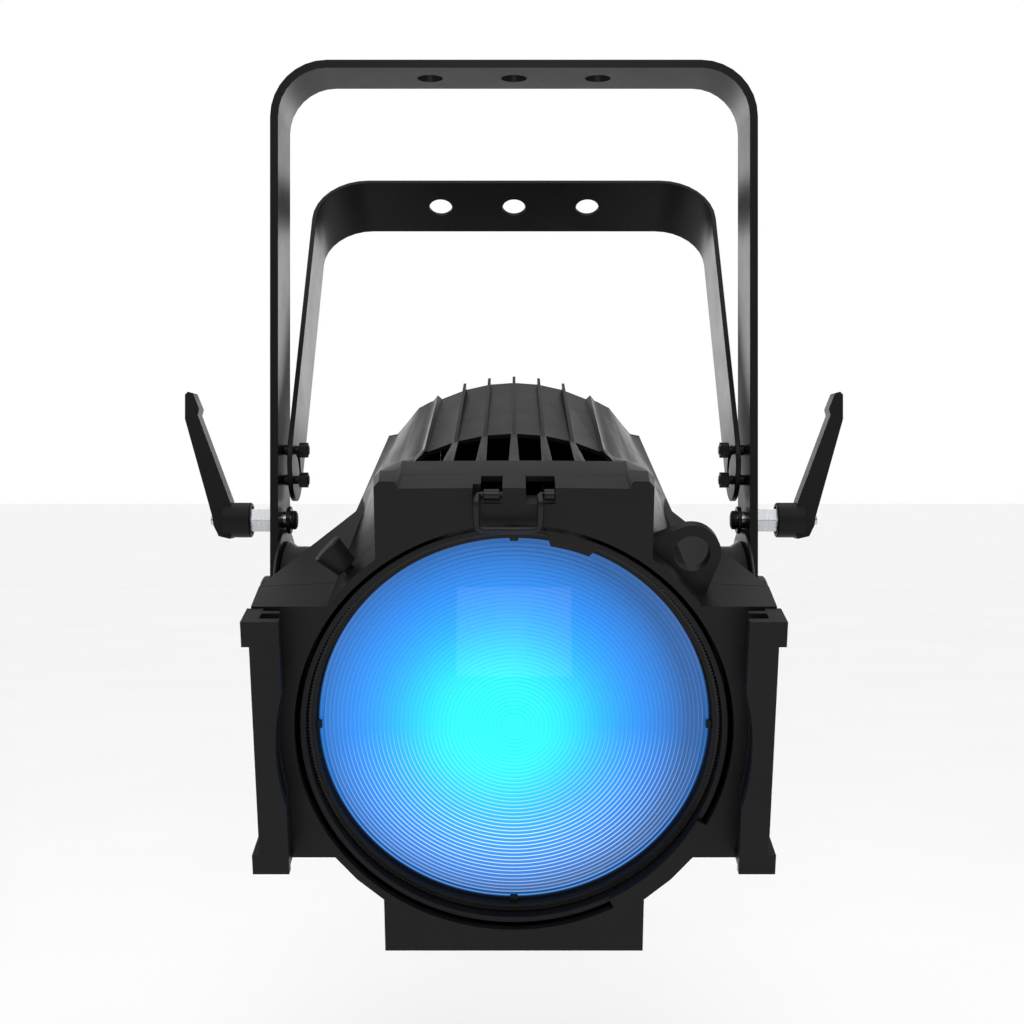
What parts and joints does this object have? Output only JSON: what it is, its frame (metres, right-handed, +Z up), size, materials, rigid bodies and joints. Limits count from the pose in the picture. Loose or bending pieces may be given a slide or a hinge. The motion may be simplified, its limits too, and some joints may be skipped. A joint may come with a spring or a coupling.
{
  "type": "fresnel spotlight",
  "caption": "LED fresnel stage light with a finned metal housing, accessory slots, hanging yoke, swing-out floor bracket and clamp levers.",
  "frame": {"origin": "centre of the yoke's top face, where the hook clamp bolts on", "axes": "+X to the right as seen from the front, +Y to the back of the light, +Z up; the lens axis leans 15 degrees down towards the front (-Y)"},
  "size_m": [0.3896, 0.394, 0.4965],
  "materials": {
    "black_paint": "fine satin powder coat",
    "black_plastic": "matt",
    "black_steel": "blackened",
    "bright_steel": "bright plated",
    "aluminium": "plain",
    "lens_glass": "clear, blue light behind it",
    "emitter": "cyan emitter",
    "circuit_board": "green solder mask",
    "screen_glass": "dark display",
    "reflector_silver": "polished"
  },
  "bodies": {
    "yoke": {"hanging_yoke": "black_paint", "pivot_bolt_left": "black_steel", "pivot_nut_left": "black_steel", "clamp_pad_left": "black_steel", "bracket_stud_lower_left": "black_steel", "bracket_stud_upper_left": "black_steel", "lock_nut_lower_left": "black_steel", "lock_nut_upper_left": "black_steel", "pivot_bolt_right": "black_steel", "pivot_nut_right": "black_steel", "clamp_pad_right": "black_steel", "bracket_stud_lower_right": "black_steel", "bracket_stud_upper_right": "black_steel", "lock_nut_lower_right": "black_steel", "lock_nut_upper_right": "black_steel"},
    "floor_bracket": {"floor_bracket": "black_paint"},
    "head": {"front_frame": "black_paint", "accessory_rail_left": "black_paint", "accessory_rail_right": "black_paint", "housing_top": "black_paint", "housing_base": "black_paint", "rear_cover": "black_paint", "display": "screen_glass", "power_inlet": "black_plastic", "power_outlet": "black_plastic", "data_inlet": "black_plastic", "data_outlet": "black_plastic", "fuse_holder": "black_plastic", "pivot_hub_left": "black_paint", "pivot_hub_right": "black_paint", "brake_disc_left": "black_steel", "brake_disc_right": "black_steel", "lens_barrel": "black_paint", "mixing_reflector": "reflector_silver", "led_engine": "emitter", "led_board": "circuit_board", "heat_sink": "aluminium", "fan_frame": "black_plastic", "power_supply": "aluminium", "driver_board": "circuit_board"},
    "zoom_ring": {"zoom_ring": "black_paint"},
    "lens_carriage": {"fresnel_lens": "lens_glass", "lens_carrier": "aluminium"},
    "latch_bail": {"latch_bail": "black_steel"},
    "lock_knob": {"lock_knob": "black_plastic"},
    "fan_rotor": {"fan_rotor": "black_plastic"},
    "clamp_left": {"clamp_stud_left": "bright_steel", "lever_screw_left": "bright_steel"},
    "lever_left": {"clamp_lever_left": "black_plastic"},
    "clamp_right": {"clamp_stud_right": "bright_steel", "lever_screw_right": "bright_steel"},
    "lever_right": {"clamp_lever_right": "black_plastic"},
    "button_up": {"button_up": "black_plastic"},
    "button_down": {"button_down": "black_plastic"},
    "button_menu": {"button_menu": "black_plastic"},
    "button_enter": {"button_enter": "black_plastic"}
  },
  "joints": [
    {"name": "head_tilt", "type": "hinge", "parent": "yoke", "child": "head", "pos_m": [0, 0, -0.3226], "axis": [1, 0, 0], "range_deg": [-65, 75]},
    {"name": "bracket_swing", "type": "hinge", "parent": "yoke", "child": "floor_bracket", "pos_m": [0, 0, -0.2441], "axis": [1, 0, 0], "range_deg": [0, 69]},
    {"name": "zoom_ring_turn", "type": "hinge", "parent": "head", "child": "zoom_ring", "pos_m": [0, -0.10859, -0.37209], "axis": [0, 0.9659, 0.2588], "range_deg": [0, 90]},
    {"name": "lens_travel", "type": "slide", "parent": "head", "child": "lens_carriage", "axis": [0, 0.9659, 0.2588], "range_m": [0, 0.03]},
    {"name": "latch_swing", "type": "hinge", "parent": "head", "child": "latch_bail", "pos_m": [0, -0.14919, -0.25149], "axis": [-1, 0, 0], "range_deg": [0, 110]},
    {"name": "lock_knob_turn", "type": "hinge", "parent": "head", "child": "lock_knob", "pos_m": [0, -0.10376, -0.3708], "axis": [-0.7071, -0.183, 0.683], "range_deg": [0, 270]},
    {"name": "fan_spin", "type": "hinge", "parent": "head", "child": "fan_rotor", "pos_m": [0, 0.18312, -0.29393], "axis": [0, 0.9659, 0.2588], "continuous": true},
    {"name": "clamp_turn_left", "type": "hinge", "parent": "yoke", "child": "clamp_left", "pos_m": [-0.15, 0, -0.268], "axis": [-1, 0, 0], "range_deg": [-110, 110]},
    {"name": "lever_lift_left", "type": "slide", "parent": "clamp_left", "child": "lever_left", "axis": [-1, 0, 0], "range_m": [0, 0.004], "stiffness_N_per_m": 500, "springref_m": -0.002},
    {"name": "clamp_turn_right", "type": "hinge", "parent": "yoke", "child": "clamp_right", "pos_m": [0.15, 0, -0.268], "axis": [1, 0, 0], "range_deg": [-110, 110]},
    {"name": "lever_lift_right", "type": "slide", "parent": "clamp_right", "child": "lever_right", "axis": [1, 0, 0], "range_m": [0, 0.004], "stiffness_N_per_m": 500, "springref_m": -0.002},
    {"name": "press_up", "type": "slide", "parent": "head", "child": "button_up", "axis": [0, -0.9659, -0.2588], "range_m": [0, 0.0015], "stiffness_N_per_m": 600, "springref_m": -0.001},
    {"name": "press_down", "type": "slide", "parent": "head", "child": "button_down", "axis": [0, -0.9659, -0.2588], "range_m": [0, 0.0015], "stiffness_N_per_m": 600, "springref_m": -0.001},
    {"name": "press_menu", "type": "slide", "parent": "head", "child": "button_menu", "axis": [0, -0.9659, -0.2588], "range_m": [0, 0.0015], "stiffness_N_per_m": 600, "springref_m": -0.001},
    {"name": "press_enter", "type": "slide", "parent": "head", "child": "button_enter", "axis": [0, -0.9659, -0.2588], "range_m": [0, 0.0015], "stiffness_N_per_m": 600, "springref_m": -0.001}
  ],
  "couplings": [
    {"joint": "lens_travel", "follows": "zoom_ring_turn", "m_per_rad": 0.019099}
  ]
}
